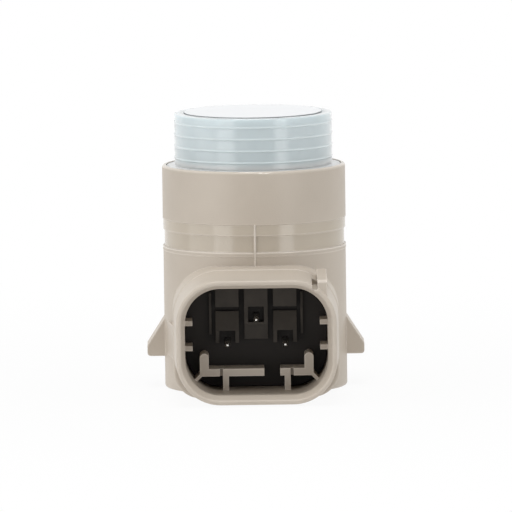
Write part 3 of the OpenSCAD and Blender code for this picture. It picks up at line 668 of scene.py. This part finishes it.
def painted_metal(cup, top):
    """White paint with a faint orange peel on the face, and brushed bare metal below its edge, painted dark
    grey that also stands in for the shade at the face's edge.
    """
    finish = Finish("painted_face")
    painted = finish.step("Z", top - cup.edge, top - cup.paint_depth * cup.edge)
    # Dark grey below the face's edge: bare metal, with painted shade for the dark line there
    metal = finish.clouded(cup.brush, cup.metal, dark=0.8, pace=ROUND_Z)
    finish.set(Base_Color=finish.mix(painted, metal, cup.paint), Specular_IOR_Level=cup.shine)
    peel = finish.noise(cup.peel)
    finish.gloss(peel, cup.roughness, cup.drift)
    finish.relief(peel, cup.peel_depth, strength=0.25)
    return finish.material


def grained(name, colour, dark, width, roughness, depth=THIN, metallic=0.0, pace=None):
    """A finish of one colour that drifts to a darker share of itself, with grain in gloss and relief."""
    finish = Finish(name)
    finish.set(Base_Color=finish.clouded(width * CLOUD_GRAINS, colour, dark), Metallic=metallic)
    grain = finish.noise(width, GRAINY, pace)
    finish.gloss(grain, roughness, drift=0.06)
    finish.relief(grain, depth, strength=0.4)
    return finish.material


def black_moulding(carrier):
    """Black plastic with a fine grain, and painted shade that makes the recessed plate darker than the
    towers on it.
    """
    finish = Finish("carrier_black")
    towers = finish.clouded(carrier.cloud, carrier.towers, dark=0.82)
    # Painted shade, darkening towards the recessed plate
    plate = finish.step("Y", carrier.plate_face - carrier.fade_start, carrier.plate_face - carrier.fade_end)
    finish.set(Base_Color=finish.mix(plate, towers, carrier.plate), Specular_IOR_Level=carrier.shine)
    grain = finish.noise(carrier.grain, GRAINY)
    finish.gloss(grain, carrier.roughness, carrier.drift)
    finish.relief(grain, carrier.grain_depth, strength=0.4, edge=carrier.edge)
    return finish.material


def foam_rubber(electronics):
    """Open-celled rubber: painted shade makes each cell's hollow middle dark, paler at its wall."""
    finish = Finish("dark_foam")
    scale = 1 / electronics.foam_cell
    cells = finish.add("ShaderNodeTexVoronoi", Vector=finish.place, Scale=scale).outputs["Distance"]
    # Painted shade in the hollow of each cell
    finish.set(Base_Color=finish.mix(cells, darker(electronics.dark, part=0.5), electronics.dark))
    finish.gloss(cells, middle=0.8, drift=0.1)
    finish.relief(cells, electronics.foam_depth, strength=0.6)
    return finish.material


def wound_wire(electronics):
    """Enamelled turns along Y: bands of a pitch in relief, each with a duller gap that is painted darker as
    shade.
    """
    finish = Finish("wound_copper")
    scale = 2 * math.pi / (WAVE_RATE * electronics.turn_pitch)
    wave = finish.add("ShaderNodeTexWave", {"bands_direction": "Y"}, Vector=finish.place, Scale=scale,
                      Distortion=0.4)
    turns = wave.outputs["Fac"]
    # Painted shade in the gaps between turns
    copper = finish.mix(turns, darker(electronics.copper, part=0.45), electronics.copper)
    finish.set(Base_Color=copper, Metallic=0.8)
    finish.gloss(turns, middle=0.34, drift=-0.06)
    finish.relief(turns, electronics.turn_depth, strength=0.6)
    return finish.material


def dress(material, *names):
    """Puts one material on CAD nodes, in place of the one they came with."""
    for name in names:
        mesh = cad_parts[name].data
        mesh.materials.clear()
        mesh.materials.append(material)


def hand_over(piece, node, material):
    """Gives a new piece its material and body, and hides the CAD node that it stands for."""
    piece.data.materials.append(material)
    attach(piece, BODY)
    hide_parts(node)


# Studio

def direction(azimuth, elevation):
    """Unit vector from the sensor at two angles: azimuth 0 is in front of the socket, and positive goes
    to the right."""
    level = math.cos(elevation)
    return Vector((math.sin(azimuth) * level, -math.cos(azimuth) * level, math.sin(elevation)))


def add_lamp(name, power, size, place, aim):
    """A soft rectangular lamp that looks at a point."""
    lamp = bpy.data.lights.new(name, "AREA")
    lamp.shape = "RECTANGLE"
    lamp.size, lamp.size_y = size
    lamp.energy = power
    obj = bpy.data.objects.new(name, lamp)
    obj.location = place
    obj.rotation_euler = (aim - place).to_track_quat("-Z", "Y").to_euler()
    bpy.context.scene.collection.objects.link(obj)


def floor_white(studio):
    """White floor: part plain white, more so away from the sensor, and part diffuse, which takes the shadow.
    It is clear from below, so that the underside can be looked at."""
    material = bpy.data.materials.new("floor_white")
    material.use_nodes = True
    nodes = NodeTree(material.node_tree)
    place = nodes.add("ShaderNodeTexCoord").outputs["Object"]
    reach = nodes.fill("ShaderNodeVectorMath", {"operation": "LENGTH"}, place).outputs["Value"]
    glow = nodes.scaled(reach, 0.0, studio.floor_reach, studio.floor_glow, 1.0, smooth=True)
    whiteness = nodes.scaled(nodes.seen(), 0.0, 1.0, studio.floor_light, glow)
    shade = studio.floor_shade
    diffuse = nodes.add("ShaderNodeBsdfDiffuse", Color=(shade, shade, shade, 1)).outputs[0]
    white = nodes.add("ShaderNodeEmission", Color=WHITE).outputs[0]
    clear = nodes.add("ShaderNodeBsdfTransparent").outputs[0]
    below = nodes.add("ShaderNodeNewGeometry").outputs["Backfacing"]
    surface = nodes.layered(below, nodes.layered(whiteness, diffuse, white), clear)
    nodes.add("ShaderNodeOutputMaterial", Surface=surface)
    return material


def add_floor(studio):
    """A square white floor just under the sensor."""
    half = studio.floor_size / 2
    height = min(CAD_BOX[0].z, 0.0) - studio.floor_gap
    corners = [(-half, -half, height), (half, -half, height), (half, half, height), (-half, half, height)]
    mesh = bpy.data.meshes.new("floor")
    mesh.from_pydata(corners, [], [(0, 1, 2, 3)])
    mesh.materials.append(floor_white(studio))
    floor = bpy.data.objects.new("floor", mesh)
    bpy.context.scene.collection.objects.link(floor)
    floor.visible_shadow = False
    floor.visible_glossy = False


def add_sky(scene, studio):
    """A white world: strength 1 where it is seen, and the sky's strength as light, lower from the front."""
    world = bpy.data.worlds.new("sky")
    scene.world = world
    world.use_nodes = True
    nodes = NodeTree(world.node_tree)
    heading = nodes.add("ShaderNodeTexCoord").outputs["Generated"]
    depth = nodes.add("ShaderNodeSeparateXYZ", Vector=heading).outputs["Y"]
    light = nodes.scaled(depth, studio.front_full, studio.front_end,
                         studio.sky_front, studio.sky, smooth=True)
    strength = nodes.scaled(nodes.seen(), 0.0, 1.0, light, 1.0)
    white = nodes.add("ShaderNodeBackground", Color=WHITE, Strength=strength).outputs[0]
    nodes.add("ShaderNodeOutputWorld", Surface=white)


def add_camera(studio):
    """A long lens at the studio's angles: back points to the camera, and the roll leans right and up."""
    back = direction(studio.azimuth, studio.elevation)
    right = Vector((math.cos(studio.azimuth), math.sin(studio.azimuth), 0))
    up = back.cross(right)
    leaned_right = right * math.cos(studio.roll) - up * math.sin(studio.roll)
    leaned_up = up * math.cos(studio.roll) + right * math.sin(studio.roll)
    camera = bpy.data.cameras.new("camera")
    camera.lens = camera.sensor_width * studio.distance / studio.view_width
    camera.clip_start = studio.distance * NEAR_SHARE
    camera.clip_end = studio.distance + studio.floor_size
    obj = bpy.data.objects.new("camera", camera)
    turn = Matrix((leaned_right, leaned_up, back)).transposed().to_4x4()
    obj.matrix_world = Matrix.Translation(Vector(studio.target) + back * studio.distance) @ turn
    bpy.context.scene.collection.objects.link(obj)
    return obj


# Operators

class SENSOR_OT_moulding(bpy.types.Operator):
    """Finish the housing and its cover as beige moulded plastic"""
    bl_idname = "sensor.moulding"
    bl_label = "Moulding"

    def execute(self, context):
        dress(moulded_plastic(settings_of(context).moulding), "housing", "base_cover")
        return {"FINISHED"}


class SENSOR_OT_ring(bpy.types.Operator):
    """Make the ribbed silicone ring"""
    bl_idname = "sensor.ring"
    bl_label = "Silicone ring"

    def execute(self, context):
        ring = settings_of(context).ring
        low, high = RING_BOX
        profile = ring_profile(ring, low.z, high.z, high.x)
        piece = new_piece("silicone_ring", revolved(profile, ring.sides), closed=True)
        hand_over(piece, "decoupling_ring", milky_silicone(ring, low.z, high.z))
        return {"FINISHED"}


class SENSOR_OT_cup(bpy.types.Operator):
    """Make the sounding cup with its painted face"""
    bl_idname = "sensor.cup"
    bl_label = "Sounding cup"

    def execute(self, context):
        cup = settings_of(context).cup
        low, high = CUP_BOX
        profile = cup_profile(cup, high.x, low.z, high.z)
        piece = new_piece("sounding_cup", revolved(profile, cup.sides))
        hand_over(piece, "membrane_cup", painted_metal(cup, high.z))
        return {"FINISHED"}


class SENSOR_OT_terminals(bpy.types.Operator):
    """Make the three tinned contact pins"""
    bl_idname = "sensor.terminals"
    bl_label = "Terminals"

    def execute(self, context):
        terminal = settings_of(context).terminal
        plating = grained("tin_plating", terminal.colour, dark=0.85, width=FINE,
                          roughness=terminal.roughness, depth=terminal.mark_depth, metallic=1.0,
                          pace=ALONG_Y)
        for node in TERMINALS:
            low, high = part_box(node)
            piece = new_piece(node.replace("terminal", "pin"), pin_surface(terminal, low, high))
            hand_over(piece, node, plating)
        return {"FINISHED"}


class SENSOR_OT_carrier(bpy.types.Operator):
    """Finish the terminal carrier as black plastic"""
    bl_idname = "sensor.carrier"
    bl_label = "Terminal carrier"

    def execute(self, context):
        dress(black_moulding(settings_of(context).carrier), "terminal_carrier")
        return {"FINISHED"}


class SENSOR_OT_electronics(bpy.types.Operator):
    """Finish the board, its components, the piezo disc and the cup's filling"""
    bl_idname = "sensor.electronics"
    bl_label = "Electronics"

    def execute(self, context):
        inside = settings_of(context).electronics
        resist = grained("board_resist", inside.board, dark=0.7, width=COARSE, roughness=0.3)
        black = grained("component_black", inside.black, dark=0.8, width=FINE, roughness=0.5)
        ferrite = grained("ferrite", inside.dark, dark=0.75, width=FINE, roughness=0.55)
        lead = grained("lead_copper", inside.copper, dark=0.8, width=FINE, roughness=0.3, metallic=1.0)
        can = grained("can_aluminium", inside.silver, dark=0.9, width=FINE, roughness=0.3,
                      metallic=1.0, pace=ALONG_Y)
        ceramic = grained("brown_ceramic", inside.ceramic, dark=0.85, width=FINE, roughness=0.45)
        disc = grained("silvered_ceramic", inside.silver, dark=0.85, width=COARSE, roughness=0.4,
                       metallic=0.7)
        filling = grained("grey_silicone", inside.filling, dark=0.9, width=COARSE, roughness=0.5)
        dress(resist, "circuit_board")
        dress(black, "driver_chip", "chip_resistors", "transformer_base")
        dress(ferrite, "transformer_core")
        dress(wound_wire(inside), "transformer_winding")
        dress(lead, "piezo_lead_signal", "piezo_lead_ground")
        dress(can, "buffer_capacitor")
        dress(ceramic, "ceramic_capacitors")
        dress(disc, "piezo_disc")
        dress(foam_rubber(inside), "damping_pad")
        dress(filling, "cup_filler")
        return {"FINISHED"}


class SENSOR_OT_studio(bpy.types.Operator):
    """Set up the floor, the soft lamps, the even sky and the camera"""
    bl_idname = "sensor.studio"
    bl_label = "Studio"

    def execute(self, context):
        studio = settings_of(context).studio
        scene = context.scene
        scene.view_settings.view_transform = "Standard"
        add_floor(studio)
        add_sky(scene, studio)
        aim = Vector((0, 0, studio.aim))
        for name, power, size, angles, distance in LAMPS:
            place = direction(*map(math.radians, angles)) * distance
            add_lamp(name, getattr(studio, power), size, place, aim)
        scene.camera = add_camera(studio)
        return {"FINISHED"}


# Panel and registration

class SENSOR_PT_looks(bpy.types.Panel):
    """Lists the sensor's pieces and their settings"""
    bl_idname = "SENSOR_PT_looks"
    bl_label = "Parking sensor"
    bl_space_type = "VIEW_3D"
    bl_region_type = "UI"
    bl_category = "Sensor"

    def draw(self, context):
        settings = settings_of(context)
        for operator, group in PANEL_ROWS:
            box = self.layout.box()
            box.operator(operator.bl_idname)
            values = getattr(settings, group)
            for name in values.__annotations__:
                box.prop(values, name)


PANEL_ROWS = (
    (SENSOR_OT_moulding, "moulding"),
    (SENSOR_OT_ring, "ring"),
    (SENSOR_OT_cup, "cup"),
    (SENSOR_OT_terminals, "terminal"),
    (SENSOR_OT_carrier, "carrier"),
    (SENSOR_OT_electronics, "electronics"),
    (SENSOR_OT_studio, "studio"),
)
CLASSES = (MouldingSettings, RingSettings, CupSettings, TerminalSettings, CarrierSettings,
           ElectronicsSettings, StudioSettings, SensorSettings, *(row[0] for row in PANEL_ROWS),
           SENSOR_PT_looks)


def register():
    """Registers the classes and puts the settings on the scene."""
    for cls in CLASSES:
        bpy.utils.register_class(cls)
    bpy.types.Scene.parking_sensor = PointerProperty(type=SensorSettings)


def unregister():
    """Takes the settings off the scene and unregisters the classes."""
    del bpy.types.Scene.parking_sensor
    for cls in reversed(CLASSES):
        bpy.utils.unregister_class(cls)


def main():
    """Makes the pieces and the studio in order."""
    register()
    bpy.ops.sensor.moulding()
    bpy.ops.sensor.ring()
    bpy.ops.sensor.cup()
    bpy.ops.sensor.terminals()
    bpy.ops.sensor.carrier()
    bpy.ops.sensor.electronics()
    bpy.ops.sensor.studio()


if __name__ == "__main__":
    main()
